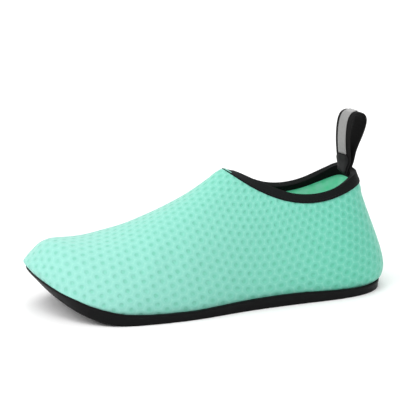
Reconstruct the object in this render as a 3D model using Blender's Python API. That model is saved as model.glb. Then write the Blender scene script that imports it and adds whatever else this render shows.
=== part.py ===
"""Water shoe for the left foot: a stretch-fabric slip-on upper in a moulded rubber cup sole.

Metres, +Z up, +X towards the toe, +Y towards the wearer's left, which is the outer side of this shoe.
The origin is on the floor, under the middle of the shoe's box.

Every form is worked out around the foot. An angle of 0 is the back of the heel, pi is the tip of the
toe, and the outer side lies between them. A station is a share of a length, measured from the heel.
"""
import math

import bmesh
import bpy
import numpy as np

# Sole, seen from below
SOLE_LENGTH = 0.2365
BALL_WIDTH = 0.0920
HEEL_WIDTH = 0.0660
TOE_SPRING = 0.0240
SPRING_START = 0.775
HEEL_SPRING = 0.0003
HEEL_SPRING_END = 0.09

# The sole's width grows from the heel's to the ball's between these stations.
WIDENING_START = 0.20
WIDENING_END = 0.68

# Sole, through its thickness. The floor thins from THINNING_START to the tip of the toe.
FLOOR_THICKNESS = 0.0045
TOE_FLOOR_THICKNESS = 0.0030
THINNING_START = 0.78
SEAM_HEIGHT = 0.0077
FEATHER_INSET = 0.0030
EDGE_CHAMFER = 0.0007
SIDE_LIP_HEIGHT = 0.0018
SIDE_LIP_STEP = 0.0004
RIM_WIDTH = 0.0040
TREAD_DEPTH = 0.0013
RIB_WIDTH = 0.0013
LUG_ROOT = 0.0008

# Upper
WALL = 0.0020
HEEL_HEIGHT = 0.0718
INSTEP_HEIGHT = 0.0854
COLLAR_BACK = 0.0152
COLLAR_LENGTH = 0.0940
COLLAR_WIDTH = 0.0440
BAND_WIDTH = 0.0070

# Trim
FIT_GAP = 0.0003
INSOLE_THICKNESS = 0.0030
BINDING_THICKNESS = 0.0008
BINDING_CLEARANCE = 0.0009
LOOP_HEIGHT = 0.0395
LOOP_DEPTH = 0.0120
LOOP_TAIL = 0.0020
LOOP_TWIST = math.radians(17)
LOOP_TWIST_SHARE = 0.25
WEBBING_WIDTH = 0.0140
WEBBING_THICKNESS = 0.0011
STRIPE_WIDTH = 0.0078
STRIPE_THICKNESS = 0.0004
PATCH_WIDTH = 0.0124
PATCH_THICKNESS = 0.0009

# How finely the forms are cut into faces
COLUMNS = 72
UPPER_ROWS = 13
RING_SIDES = 24
SPRING_CUT = 0.008

# Half widths of the sole as shares of its width at that station.
OUTLINE_COLUMNS = ("station", "outer", "inner")
OUTLINE = (
    (0.00, 0.000, 0.000),
    (0.03, 0.298, 0.290),
    (0.10, 0.445, 0.448),
    (0.20, 0.500, 0.490),
    (0.32, 0.495, 0.430),
    (0.45, 0.480, 0.345),
    (0.58, 0.495, 0.370),
    (0.68, 0.495, 0.455),
    (0.78, 0.483, 0.503),
    (0.87, 0.405, 0.490),
    (0.94, 0.262, 0.422),
    (1.00, -0.132, 0.132),
)

# The line where the fabric leaves the sole, as a share of SEAM_HEIGHT, and how far the underside is
# rolled in from the outline, as a share of RIM_WIDTH.
EDGE_COLUMNS = ("station", "seam", "roll")
EDGE = (
    (0.00, 0.66, 0.00),
    (0.05, 0.70, 0.00),
    (0.14, 0.80, 0.00),
    (0.30, 1.00, 0.00),
    (0.42, 0.94, 0.00),
    (0.58, 0.76, 0.00),
    (0.70, 0.80, 0.00),
    (0.77, 0.96, 0.05),
    (0.84, 1.20, 0.15),
    (0.91, 1.08, 0.45),
    (0.96, 0.78, 0.85),
    (1.00, 0.44, 1.25),
)

# The fabric's edge along the collar. Half widths are shares of COLLAR_WIDTH, heights are shares of the
# rim height, which runs from HEEL_HEIGHT to INSTEP_HEIGHT, and a lean of 1 lays the band level.
COLLAR_COLUMNS = (
    "station", "outer", "inner", "height_outer", "height_inner", "lean_outer", "lean_inner",
)
COLLAR = (
    (0.00, 0.000, 0.000, 1.000, 1.000, 0.12, 0.12),
    (0.05, 0.310, 0.315, 0.980, 1.000, 0.10, 0.10),
    (0.18, 0.450, 0.450, 0.900, 0.925, 0.10, 0.10),
    (0.38, 0.500, 0.500, 0.824, 0.826, 0.24, 0.20),
    (0.60, 0.477, 0.477, 0.824, 0.795, 0.28, 0.20),
    (0.80, 0.365, 0.365, 0.890, 0.856, 0.36, 0.30),
    (0.93, 0.230, 0.235, 0.963, 0.940, 0.80, 0.70),
    (1.00, -0.011, 0.011, 1.000, 1.000, 1.60, 1.60),
)

# The upper's sections. Each runs from the sole's inner floor to the collar as one cubic curve, whose
# first handle rises (share of INSTEP_HEIGHT) and bulges (share of BALL_WIDTH), and whose second
# handle reaches back towards the floor point (share of the way) and drops (share of INSTEP_HEIGHT).
SECTION_COLUMNS = (
    "station", "collar", "rise_outer", "rise_inner", "bulge_outer", "bulge_inner",
    "reach_outer", "reach_inner", "drop_outer", "drop_inner",
)
SECTIONS = (
    (0.00, 0.000, 0.03, 0.03, 0.183, 0.183, 0.74, 0.74, 0.36, 0.36),
    (0.05, 0.060, 0.14, 0.20, 0.105, 0.095, 0.48, 0.50, 0.31, 0.28),
    (0.15, 0.180, 0.26, 0.30, 0.058, 0.056, 0.50, 0.50, 0.21, 0.23),
    (0.30, 0.380, 0.28, 0.30, 0.033, 0.033, 0.50, 0.50, 0.19, 0.18),
    (0.45, 0.600, 0.30, 0.32, 0.027, 0.027, 0.59, 0.55, 0.22, 0.17),
    (0.60, 0.780, 0.33, 0.34, 0.038, 0.033, 0.62, 0.60, 0.26, 0.21),
    (0.74, 0.890, 0.30, 0.31, 0.050, 0.050, 0.67, 0.65, 0.33, 0.31),
    (0.86, 0.950, 0.29, 0.28, 0.074, 0.073, 0.72, 0.68, 0.45, 0.53),
    (0.95, 0.985, 0.345, 0.325, 0.120, 0.122, 0.70, 0.66, 0.58, 0.68),
    (1.00, 1.000, 0.36, 0.36, 0.167, 0.167, 0.63, 0.63, 0.68, 0.68),
)

# Soft folds of the fabric: where each lies (turns around the shoe, share of the way up), how far it
# spreads that way, and its height in shares of WALL. A negative height is a trough.
FOLD_COLUMNS = ("turn", "up", "turn_spread", "up_spread", "height")
FOLDS = (
    (0.00, 0.06, 0.090, 0.040, 0.60),
    (0.50, 0.06, 0.100, 0.035, 1.60),
    (0.48, 0.39, 0.070, 0.100, 1.80),
    (0.50, 0.21, 0.055, 0.060, -0.60),
    (0.45, 0.64, 0.045, 0.090, -0.70),
)

# Round lugs of the tread: places as shares of SOLE_LENGTH and BALL_WIDTH, radii of BALL_WIDTH.
# A lug with no disc is a ring alone, and one with no ring is a disc alone.
LUG_COLUMNS = ("station", "across", "ring", "disc")
LUGS = (
    (0.665, 0.286, 0.124, 0.078),
    (0.714, -0.167, 0.143, 0.104),
    (0.604, -0.067, 0.119, 0.072),
    (0.512, 0.028, 0.076, 0.060),
    (0.416, 0.038, 0.071, 0.055),
    (0.244, 0.180, 0.089, 0.070),
    (0.319, 0.009, 0.000, 0.064),
    (0.240, -0.063, 0.000, 0.060),
    (0.127, 0.011, 0.088, 0.068),
)

# The rib that bounds the toe grid is an arc about a point under the waist.
TOE_RIB_STATION = 0.253
TOE_RIB_ACROSS = -0.330
TOE_RIB_RADIUS = 0.575

# The smooth pad under the arch is the inner side's part of a circle.
ARCH_PAD_STATION = 0.4205
ARCH_PAD_ACROSS = -0.593
ARCH_PAD_RADIUS = 0.194
ARCH_PAD_RECESS = 0.0003

# The loop's middle line from its back tail to its front tail, in shares of LOOP_DEPTH and LOOP_HEIGHT
LOOP_COLUMNS = ("forward", "height")
LOOP_PATH = (
    (0.00, 0.00),
    (-0.06, 0.08),
    (-0.13, 0.20),
    (-0.24, 0.34),
    (-0.45, 0.48),
    (-0.70, 0.62),
    (-0.88, 0.75),
    (-0.95, 0.87),
    (-0.81, 0.955),
    (-0.52, 0.997),
    (-0.20, 0.985),
    (0.00, 0.93),
    (0.11, 0.84),
    (0.17, 0.72),
    (0.19, 0.57),
    (0.17, 0.43),
    (0.13, 0.31),
    (0.09, 0.20),
    (0.09, 0.10),
    (0.12, 0.00),
)

# The points of the loop, tails included, between which the stripe runs.
STRIPE_FIRST = 10
STRIPE_LAST = 18

# The patch runs between these two points of the loop's front leg and rounds off above the second.
PATCH_FOOT = -2
PATCH_CROWN = -4
PATCH_ROUNDING_COLUMNS = ("share", "width")
PATCH_ROUNDING = (
    (0.45, 0.93),
    (0.74, 0.78),
    (0.90, 0.50),
)


def column(table, names, name):
    """One named column of a table."""
    place = names.index(name)
    return np.array([row[place] for row in table])


def station_angle(station):
    """The angle around the foot at which a station lies on the outer side."""
    return np.arccos(1.0 - 2.0 * np.asarray(station))


def angle_station(angle):
    """The station of an angle, the same on the outer and the inner side."""
    return (1.0 - np.cos(angle)) / 2.0


def ease(share):
    """A smooth step from 0 to 1."""
    share = np.clip(share, 0.0, 1.0)
    return share * share * (3.0 - 2.0 * share)


class ClosedCurve:
    """A smooth closed cubic curve through values that are given at angles."""

    def __init__(self, angles, values):
        order = np.argsort(angles)
        self.at = np.asarray(angles)[order]
        self.value = np.asarray(values)[order]
        count = len(self.at)
        self.gap = np.diff(np.append(self.at, self.at[0] + 2.0 * math.pi))
        slope = (np.roll(self.value, -1) - self.value) / self.gap
        matrix = np.zeros((count, count))
        wanted = np.zeros(count)
        for here in range(count):
            before = (here - 1) % count
            after = (here + 1) % count
            matrix[here, before] += self.gap[before]
            matrix[here, here] += 2.0 * (self.gap[before] + self.gap[here])
            matrix[here, after] += self.gap[here]
            wanted[here] = 6.0 * (slope[here] - slope[before])
        self.bend = np.linalg.solve(matrix, wanted)

    def __call__(self, angle):
        start = self.at[0]
        angle = np.mod(np.asarray(angle, dtype=float) - start, 2.0 * math.pi) + start
        last = len(self.at) - 1
        here = np.clip(np.searchsorted(self.at, angle, side="right") - 1, 0, last)
        after = (here + 1) % len(self.at)
        gap = self.gap[here]
        done = angle - self.at[here]
        left = gap - done
        bends = (self.bend[here] * left**3 + self.bend[after] * done**3) / (6.0 * gap)
        from_here = (self.value[here] / gap - self.bend[here] * gap / 6.0) * left
        from_after = (self.value[after] / gap - self.bend[after] * gap / 6.0) * done
        return bends + from_here + from_after


def around(table, names, outer, inner, mirrored=False):
    """A closed curve through an outer and an inner column; mirrored gives the inner side a minus."""
    angles = station_angle(column(table, names, "station"))
    outer_values = column(table, names, outer)
    inner_values = column(table, names, inner) * (-1.0 if mirrored else 1.0)
    every_angle = np.concatenate([angles, 2.0 * math.pi - angles[-2:0:-1]])
    return ClosedCurve(every_angle, np.concatenate([outer_values, inner_values[-2:0:-1]]))


OUTLINE_SHARE = around(OUTLINE, OUTLINE_COLUMNS, "outer", "inner", mirrored=True)
COLLAR_SHARE = around(COLLAR, COLLAR_COLUMNS, "outer", "inner", mirrored=True)
COLLAR_RIM = around(COLLAR, COLLAR_COLUMNS, "height_outer", "height_inner")
COLLAR_LEAN = around(COLLAR, COLLAR_COLUMNS, "lean_outer", "lean_inner")
RISE = around(SECTIONS, SECTION_COLUMNS, "rise_outer", "rise_inner")
BULGE = around(SECTIONS, SECTION_COLUMNS, "bulge_outer", "bulge_inner")
REACH = around(SECTIONS, SECTION_COLUMNS, "reach_outer", "reach_inner")
DROP = around(SECTIONS, SECTION_COLUMNS, "drop_outer", "drop_inner")


def collar_angle_curve():
    """How far the collar's angle runs ahead of the angle around the sole."""
    sole_angles = station_angle(column(SECTIONS, SECTION_COLUMNS, "station"))
    ahead = station_angle(column(SECTIONS, SECTION_COLUMNS, "collar")) - sole_angles
    every_angle = np.concatenate([sole_angles, 2.0 * math.pi - sole_angles[-2:0:-1]])
    return ClosedCurve(every_angle, np.concatenate([ahead, -ahead[-2:0:-1]]))


COLLAR_AHEAD = collar_angle_curve()


def width_at(station):
    """The sole's width at a station."""
    grown = ease((station - WIDENING_START) / (WIDENING_END - WIDENING_START))
    return HEEL_WIDTH + (BALL_WIDTH - HEEL_WIDTH) * grown


def lift(x):
    """How far the sole curls up off the floor at a distance from its heel end."""
    station = np.asarray(x) / SOLE_LENGTH
    toe = np.clip((station - SPRING_START) / (1.0 - SPRING_START), 0.0, None)
    heel = np.clip((HEEL_SPRING_END - station) / HEEL_SPRING_END, 0.0, None)
    return TOE_SPRING * toe**2 + HEEL_SPRING * heel**2


def floor_height(x):
    """Thickness of the sole under the foot, which thins towards the tip of the toe."""
    station = np.asarray(x) / SOLE_LENGTH
    thinned = ease((station - THINNING_START) / (1.0 - THINNING_START))
    return FLOOR_THICKNESS + (TOE_FLOOR_THICKNESS - FLOOR_THICKNESS) * thinned


def edge_share(angle, name):
    """One column of the edge table at an angle."""
    stations = column(EDGE, EDGE_COLUMNS, "station")
    return np.interp(angle_station(angle), stations, column(EDGE, EDGE_COLUMNS, name))


def seam_height(angle):
    """Height of the fabric's seam above the underside."""
    return SEAM_HEIGHT * edge_share(angle, "seam")


def roll(angle):
    """How far the underside's edge is rolled in from the outline."""
    return RIM_WIDTH * edge_share(angle, "roll")


def outline(angle, inset=0.0):
    """Points of the sole's outline in plan, moved inwards by the inset."""
    def raw(turn):
        station = angle_station(turn)
        return SOLE_LENGTH * station, OUTLINE_SHARE(turn) * width_at(station)

    step = 1e-4
    x, y = raw(angle)
    ahead_x, ahead_y = raw(angle + step)
    behind_x, behind_y = raw(angle - step)
    out_x = -(ahead_y - behind_y)
    out_y = ahead_x - behind_x
    length = np.hypot(out_x, out_y)
    out_x = out_x / length
    out_y = out_y / length
    return x - out_x * inset, y - out_y * inset, out_x, out_y


def collar_edge(angle):
    """The fabric's edge below the collar band, and the level direction into the mouth."""
    def raw(turn):
        station = angle_station(turn)
        rim = HEEL_HEIGHT + (INSTEP_HEIGHT - HEEL_HEIGHT) * station
        return np.stack(
            [
                COLLAR_BACK + COLLAR_LENGTH * station,
                COLLAR_SHARE(turn) * COLLAR_WIDTH,
                COLLAR_RIM(turn) * rim,
            ],
            axis=-1,
        )

    collar = angle + COLLAR_AHEAD(angle)
    step = 1e-4
    along = raw(collar + step) - raw(collar - step)
    inwards = np.stack([along[..., 1], -along[..., 0], np.zeros_like(collar)], axis=-1)
    return raw(collar), inwards / np.linalg.norm(inwards, axis=-1, keepdims=True), collar


def upper_skin(angle, up):
    """Points of the upper's outer skin: up is 0 on the sole's floor, 1 at the band and 2 at the rim."""
    x, y, out_x, out_y = outline(angle, FEATHER_INSET)
    foot = np.stack([x, y, lift(x) + floor_height(x) + FIT_GAP], axis=-1)
    edge, inwards, collar = collar_edge(angle)
    bulge = BULGE(angle) * BALL_WIDTH
    low = foot + np.stack([out_x * bulge, out_y * bulge, RISE(angle) * INSTEP_HEIGHT], axis=-1)
    high = edge + (foot - edge) * REACH(angle)[..., None] * np.array([1.0, 1.0, 0.0])
    high[..., 2] -= DROP(angle) * INSTEP_HEIGHT
    share = np.minimum(up, 1.0)[..., None]
    left = 1.0 - share
    point = left**3 * foot + 3 * share * left**2 * low + 3 * share**2 * left * high + share**3 * edge
    rising = edge - high
    rising = rising / np.linalg.norm(rising, axis=-1, keepdims=True)
    lean = COLLAR_LEAN(collar)[..., None]
    band = rising * (1.0 - lean) + inwards * lean
    band = band / np.linalg.norm(band, axis=-1, keepdims=True)
    return point + band * BAND_WIDTH * np.maximum(up - 1.0, 0.0)[..., None]


def outward(angle, up):
    """Unit normals of the outer skin, pointing away from the foot; the band keeps one all the way up."""
    step = 1e-3
    up = np.where(up > 1.0, 1.5, up)
    climb = upper_skin(angle, up + step) - upper_skin(angle, np.maximum(up - step, 0.0))
    along = upper_skin(angle + step, up) - upper_skin(angle - step, up)
    normal = np.cross(climb, along)
    return normal / np.linalg.norm(normal, axis=-1, keepdims=True)


def fold_height(angle, up):
    """Height of the soft folds above the smooth skin."""
    turn = np.mod(angle / (2.0 * math.pi), 1.0)
    height = np.zeros_like(turn)
    for row in FOLDS:
        fold = dict(zip(FOLD_COLUMNS, row))
        ahead = np.mod(turn - fold["turn"] + 0.5, 1.0) - 0.5
        across = ahead / fold["turn_spread"]
        climb = (up - fold["up"]) / fold["up_spread"]
        height += fold["height"] * WALL * np.exp(-(across**2) - climb**2)
    return height


def upper_point(angle, up, depth=0.0):
    """Points of the upper at a depth below its outer skin, folds included."""
    normal = outward(angle, up)
    return upper_skin(angle, up) + normal * (fold_height(angle, up) - depth)[..., None]


def column_angles():
    return np.arange(COLUMNS) * 2.0 * math.pi / COLUMNS


def seam_share(angle):
    """How far up each section the seam lies."""
    tries = np.linspace(0.0, 0.5, 101)
    shares = []
    for one in angle:
        heights = upper_skin(np.full_like(tries, one), tries)
        wanted = seam_height(one) + lift(heights[:, 0])
        above = heights[:, 2] - wanted
        first = int(np.argmax(above > 0.0))
        part = above[first - 1] / (above[first - 1] - above[first])
        shares.append(tries[first - 1] + part * (tries[first] - tries[first - 1]))
    return np.array(shares)


def level_foot(point, normal, depth):
    """Moves the foot of the wall inwards without lifting it."""
    flat = normal * np.array([1.0, 1.0, 0.0])
    flat = flat / np.linalg.norm(flat, axis=-1, keepdims=True)
    return point - flat * depth


def skin_rows(depth, shares):
    """Closed rows of points of the upper at one depth, from the foot up."""
    angle = column_angles()
    rows = []
    for share in shares:
        rows.append(upper_point(angle, share, np.full_like(angle, depth)))
    rows[0] = level_foot(upper_skin(angle, shares[0]), outward(angle, shares[0]), depth)
    return rows


def upper_shares():
    """The heights at which the upper is cut into rows: two below the seam, the seam, and the rest."""
    angle = column_angles()
    seam = seam_share(angle)
    shares = [seam * 0.0, seam * 0.5, seam]
    for step in range(1, UPPER_ROWS + 1):
        shares.append(seam + (1.0 - seam) * step / UPPER_ROWS)
    shares.append(np.full_like(angle, 1.5))
    shares.append(np.full_like(angle, 2.0))
    return shares


def add_object(name, mesh, collection):
    thing = bpy.data.objects.new(name, mesh)
    collection.objects.link(thing)
    return thing


def loft(name, rows, collection, closed=False):
    """Skins closed rows of points; a loft that isn't closed gets a ladder of faces at each end."""
    shape = bmesh.new()
    rings = [[shape.verts.new(tuple(point)) for point in row] for row in rows]
    count = len(rings[0])
    pairs = list(zip(rings, rings[1:]))
    if closed:
        pairs.append((rings[-1], rings[0]))
    for low, high in pairs:
        for here in range(count):
            after = (here + 1) % count
            shape.faces.new((low[here], low[after], high[after], high[here]))
    if not closed:
        for ring in (rings[0], rings[-1]):
            ladder(shape, ring)
    bmesh.ops.recalc_face_normals(shape, faces=shape.faces)
    mesh = bpy.data.meshes.new(name)
    shape.to_mesh(mesh)
    shape.free()
    return add_object(name, mesh, collection)


def ladder(shape, ring):
    """Fills a ring with faces that run across the shoe, from the heel to the toe."""
    count = len(ring)
    half = count // 2
    shape.faces.new((ring[0], ring[1], ring[-1]))
    for here in range(1, half - 1):
        shape.faces.new((ring[here], ring[here + 1], ring[count - here - 1], ring[count - here]))
    shape.faces.new((ring[half - 1], ring[half], ring[half + 1]))


def strip(name, corners, collection):
    """A closed bar from rows of four corners, capped at both ends."""
    shape = bmesh.new()
    rings = [[shape.verts.new(tuple(point)) for point in row] for row in corners]
    for low, high in zip(rings, rings[1:]):
        for here in range(4):
            after = (here + 1) % 4
            shape.faces.new((low[here], low[after], high[after], high[here]))
    shape.faces.new(rings[0])
    shape.faces.new(rings[-1])
    bmesh.ops.recalc_face_normals(shape, faces=shape.faces)
    mesh = bpy.data.meshes.new(name)
    shape.to_mesh(mesh)
    shape.free()
    return add_object(name, mesh, collection)


def finish(thing, name, colour, roughness):
    """Gives a piece its own material and smooth shading with sharp corners."""
    material = bpy.data.materials.new(name)
    material.use_nodes = True
    shader = material.node_tree.nodes["Principled BSDF"]
    shader.inputs["Base Color"].default_value = (*colour, 1.0)
    shader.inputs["Roughness"].default_value = roughness
    shader.inputs["Metallic"].default_value = 0.0
    thing.data.materials.append(material)
    thing.data.shade_smooth()
    thing.data.set_sharp_from_angle(angle=math.radians(35))


def make_upper(collection):
    """The upper: one wall, open at the collar and underneath."""
    shares = upper_shares()
    outside = skin_rows(0.0, shares)
    inside = skin_rows(WALL, shares)
    upper = loft("upper", outside + inside[::-1], collection, closed=True)
    finish(upper, "mint_stretch_fabric", (0.34, 0.83, 0.66), 0.75)
    return upper


def plan_row(inset, height):
    """A closed row at an inset from the outline and a height above the flat underside."""
    angle = column_angles()
    x, y, _, _ = outline(angle, inset)
    return np.stack([x, y, np.broadcast_to(height, x.shape)], axis=-1)


def flattened(row):
    """A row of the lifted shoe brought down onto the flat sole."""
    flat = row.copy()
    flat[:, 2] -= lift(flat[:, 0])
    return flat


def sole_rows():
    """Rows of the flat sole, from the tread's recess round the side to the floor inside the cup."""
    angle = column_angles()
    seam = seam_share(angle)
    height = seam_height(angle)
    shares = [seam, seam * 0.5, seam * 0.0]
    wall = [flattened(upper_point(angle, share, np.full_like(angle, -FIT_GAP))) for share in shares]
    wall[2] = flattened(
        level_foot(upper_skin(angle, shares[2]), outward(angle, shares[2]), -FIT_GAP)
    )
    wall[2][:, 2] = floor_height(wall[2][:, 0])
    lip = height - SIDE_LIP_HEIGHT
    rolled = roll(angle)
    return [
        plan_row(rolled + RIM_WIDTH + EDGE_CHAMFER, TREAD_DEPTH),
        plan_row(rolled + RIM_WIDTH, 0.0),
        plan_row(rolled + EDGE_CHAMFER, 0.0),
        plan_row(rolled * 0.75 + SIDE_LIP_STEP, EDGE_CHAMFER),
        plan_row(SIDE_LIP_STEP, lip),
        plan_row(0.0, lip + SIDE_LIP_STEP),
        plan_row(0.0, height - SIDE_LIP_STEP),
        plan_row(SIDE_LIP_STEP, height),
    ] + wall


def inside_rim(x, y):
    """Whether a place in plan lies inside the tread's rim, by a half width either side of it."""
    turn = station_angle(np.clip(x / SOLE_LENGTH, 0.0, 1.0))
    inset = roll(turn) + RIM_WIDTH * 0.5
    outer = outline(turn, inset)[1]
    inner = outline(2.0 * math.pi - turn, inset)[1]
    return inner < y < outer


def prism(name, outline_points, bottom, top, collection):
    """An upright solid over a flat outline."""
    shape = bmesh.new()
    ring = [shape.verts.new((x, y, bottom)) for x, y in outline_points]
    face = shape.faces.new(ring)
    raised = bmesh.ops.extrude_face_region(shape, geom=[face])["geom"]
    corners = [part for part in raised if isinstance(part, bmesh.types.BMVert)]
    bmesh.ops.translate(shape, verts=corners, vec=(0.0, 0.0, top - bottom))
    bmesh.ops.recalc_face_normals(shape, faces=shape.faces)
    mesh = bpy.data.meshes.new(name)
    shape.to_mesh(mesh)
    shape.free()
    return add_object(name, mesh, collection)


def lug_disc(name, x, y, radius, bottom, top, collection):
    turns = [2.0 * math.pi * side / RING_SIDES for side in range(RING_SIDES)]
    points = [(x + radius * math.cos(turn), y + radius * math.sin(turn)) for turn in turns]
    return prism(name, points, bottom, top, collection)


def combine(target, tool, operation):
    """Applies one Boolean and keeps the result as the target's mesh."""
    modifier = target.modifiers.new("combine", "BOOLEAN")
    modifier.operation = operation
    modifier.solver = "EXACT"
    modifier.object = tool
    view = bpy.context.evaluated_depsgraph_get()
    mesh = bpy.data.meshes.new_from_object(target.evaluated_get(view))
    target.modifiers.clear()
    target.data = mesh


def lug_parts(collection):
    """The solids that stand in the recess: rings, discs, the toe rib and the arch pad."""
    top = TREAD_DEPTH + LUG_ROOT
    parts = []
    for number, row in enumerate(LUGS):
        lug = dict(zip(LUG_COLUMNS, row))
        x = lug["station"] * SOLE_LENGTH
        y = lug["across"] * BALL_WIDTH
        if lug["ring"]:
            radius = lug["ring"] * BALL_WIDTH
            ring = lug_disc(f"ring_{number}", x, y, radius, 0.0, top, collection)
            hole = lug_disc(
                f"ring_hole_{number}", x, y, radius - RIB_WIDTH, -top, 2.0 * top, collection
            )
            combine(ring, hole, "DIFFERENCE")
            parts.append(ring)
        radius = lug["disc"] * BALL_WIDTH
        parts.append(lug_disc(f"disc_{number}", x, y, radius, 0.0, top, collection))
    parts.append(toe_rib(top, collection))
    parts.append(arch_pad(top, collection))
    return parts


def toe_rib(top, collection):
    """The arc rib that bounds the toe grid, from rim to rim."""
    centre_x = TOE_RIB_STATION * SOLE_LENGTH
    centre_y = TOE_RIB_ACROSS * BALL_WIDTH
    radius = TOE_RIB_RADIUS * SOLE_LENGTH
    turns = []
    for step in range(-30, 61):
        turn = math.radians(step)
        x = centre_x + radius * math.cos(turn)
        y = centre_y + radius * math.sin(turn)
        if inside_rim(x, y):
            turns.append(turn)
    half = RIB_WIDTH / 2.0
    turns = turns[::2] + ([turns[-1]] if len(turns) % 2 == 0 else [])
    near = [(radius - half, turn) for turn in turns]
    far = [(radius + half, turn) for turn in reversed(turns)]
    points = [
        (centre_x + reach * math.cos(turn), centre_y + reach * math.sin(turn))
        for reach, turn in near + far
    ]
    return prism("toe_rib", points, ARCH_PAD_RECESS, top, collection)


def arch_pad(top, collection):
    """The smooth pad on the inner side of the arch, which runs into the rim."""
    centre_x = ARCH_PAD_STATION * SOLE_LENGTH
    centre_y = ARCH_PAD_ACROSS * BALL_WIDTH
    radius = ARCH_PAD_RADIUS * SOLE_LENGTH
    arc = []
    for step in range(0, 181, 5):
        turn = math.radians(step)
        x = centre_x + radius * math.cos(turn)
        y = centre_y + radius * math.sin(turn)
        if inside_rim(x, y):
            arc.append((x, y))
    back = []
    for share in np.linspace(0.0, 1.0, 9):
        x = arc[-1][0] + (arc[0][0] - arc[-1][0]) * share
        turn = 2.0 * math.pi - station_angle(x / SOLE_LENGTH)
        place_x, place_y, _, _ = outline(turn, RIM_WIDTH * 0.5)
        back.append((float(place_x), float(place_y)))
    return prism("arch_pad", arc + back[1:-1], ARCH_PAD_RECESS, top, collection)


def make_outsole(collection, cutters):
    """The cup sole, modelled flat, given its lugs and then curled up at toe and heel."""
    sole = loft("outsole", sole_rows(), collection)
    for part in lug_parts(cutters):
        combine(sole, part, "UNION")
    shape = bmesh.new()
    shape.from_mesh(sole.data)
    place = SPRING_START * SOLE_LENGTH
    while place < SOLE_LENGTH:
        everything = list(shape.verts) + list(shape.edges) + list(shape.faces)
        bmesh.ops.bisect_plane(
            shape, geom=everything, dist=1e-6, plane_co=(place, 0, 0), plane_no=(1, 0, 0)
        )
        place += SPRING_CUT
    bmesh.ops.triangulate(shape, faces=shape.faces)
    for vert in shape.verts:
        vert.co.z += float(lift(vert.co.x))
    shape.to_mesh(sole.data)
    shape.free()
    finish(sole, "black_moulded_rubber", (0.012, 0.012, 0.013), 0.5)
    return sole


def make_insole(collection):
    """The insole, a sheet that fills the foot of the upper."""
    angle = column_angles()
    inset = FEATHER_INSET + WALL + 2.0 * FIT_GAP
    x, y, _, _ = outline(angle, inset)
    rows = []
    for height in (FIT_GAP, FIT_GAP + INSOLE_THICKNESS):
        rows.append(np.stack([x, y, lift(x) + floor_height(x) + height], axis=-1))
    insole = loft("insole", rows, collection)
    finish(insole, "foam_insole", (0.05, 0.05, 0.055), 0.9)
    return insole


def band_frames():
    """The collar band's foot, its way up and its way out, for each column."""
    angle = column_angles()
    foot = upper_skin(angle, np.full_like(angle, 1.0))
    rim = upper_skin(angle, np.full_like(angle, 2.0))
    up = (rim - foot) / BAND_WIDTH
    out = outward(angle, np.full_like(angle, 1.5))
    return foot, up, out


def make_binding(collection):
    """The binding, a U-shaped tape folded over the collar's edge."""
    foot, up, out = band_frames()
    tape = BINDING_THICKNESS
    outer = FIT_GAP + tape
    inner = -(WALL + FIT_GAP + tape)
    rim = BAND_WIDTH + FIT_GAP
    low = BINDING_CLEARANCE
    section = (
        (low, outer),
        (rim + tape * 0.4, outer),
        (rim + tape, outer - tape * 0.8),
        (rim + tape, inner + tape * 0.8),
        (rim + tape * 0.4, inner),
        (low, inner),
        (low, inner + tape),
        (rim, inner + tape),
        (rim, outer - tape),
        (low, outer - tape),
    )
    rows = [foot + up * climb + out * away for climb, away in section]
    binding = loft("collar_binding", rows, collection, closed=True)
    finish(binding, "black_elastic_binding", (0.008, 0.009, 0.009), 0.7)
    return binding


def loop_seat():
    """Where the loop's tails stand: a point on the rim behind the heel, clear of the binding."""
    foot, up, out = band_frames()
    inner_face = foot + up * BAND_WIDTH - out * (WALL + FIT_GAP + BINDING_THICKNESS)
    near = np.abs(inner_face[:, 1]) < WEBBING_WIDTH * 0.75
    near &= inner_face[:, 0] < COLLAR_BACK + COLLAR_LENGTH * 0.5
    order = np.argsort(inner_face[near][:, 1])
    across = inner_face[near][order]
    half = WEBBING_WIDTH / 2.0
    forward = max(np.interp(side, across[:, 1], across[:, 0]) for side in (-half, half))
    low = max(
        np.interp(side, across[:, 1], across[:, 0] - across[:, 2] * up[0, 0] / up[0, 2])
        for side in (-half, half)
    )
    rim = foot[0, 2] + up[0, 2] * BAND_WIDTH
    slope = up[0, 0] / up[0, 2]
    return max(forward, low + rim * slope) + FIT_GAP + WEBBING_THICKNESS / 2.0, rim, slope


def loop_line():
    """The loop's middle line: points, and the way across the webbing at each."""
    forward, rim, slope = loop_seat()
    steps = list(LOOP_PATH)
    back_tail = (0.0, -LOOP_TAIL)
    front_tail = ((steps[-1][0]) * LOOP_DEPTH, -LOOP_TAIL)
    places = [back_tail]
    places += [(share_x * LOOP_DEPTH, share_z * LOOP_HEIGHT) for share_x, share_z in steps]
    places += [front_tail]
    points = []
    sides = []
    for x, z in places:
        twist = LOOP_TWIST * float(ease(z / (LOOP_HEIGHT * LOOP_TWIST_SHARE)))
        tail = min(z, 0.0) * slope
        points.append(
            (forward + x * math.cos(twist) + tail, x * math.sin(twist), rim + z)
        )
        sides.append((-math.sin(twist), math.cos(twist), 0.0))
    return np.array(points), np.array(sides)


def loop_frames():
    """The loop's middle line with the way across it and the way out of the loop at each point."""
    points, sides = loop_line()
    along = np.gradient(points, axis=0)
    normals = np.cross(along, sides)
    normals = normals / np.linalg.norm(normals, axis=1, keepdims=True)
    outwards = np.sum(normals * (points - points.mean(axis=0)))
    return points, sides, normals if outwards > 0.0 else -normals


def ribbon_corners(frames, widths, near, far):
    """Four corners at each point of a ribbon, between two depths along its normals."""
    points, sides, normals = frames
    half = sides * np.reshape(widths, (-1, 1)) / 2.0
    return np.stack(
        [
            points - half + normals * near,
            points + half + normals * near,
            points + half + normals * far,
            points - half + normals * far,
        ],
        axis=1,
    )


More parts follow.
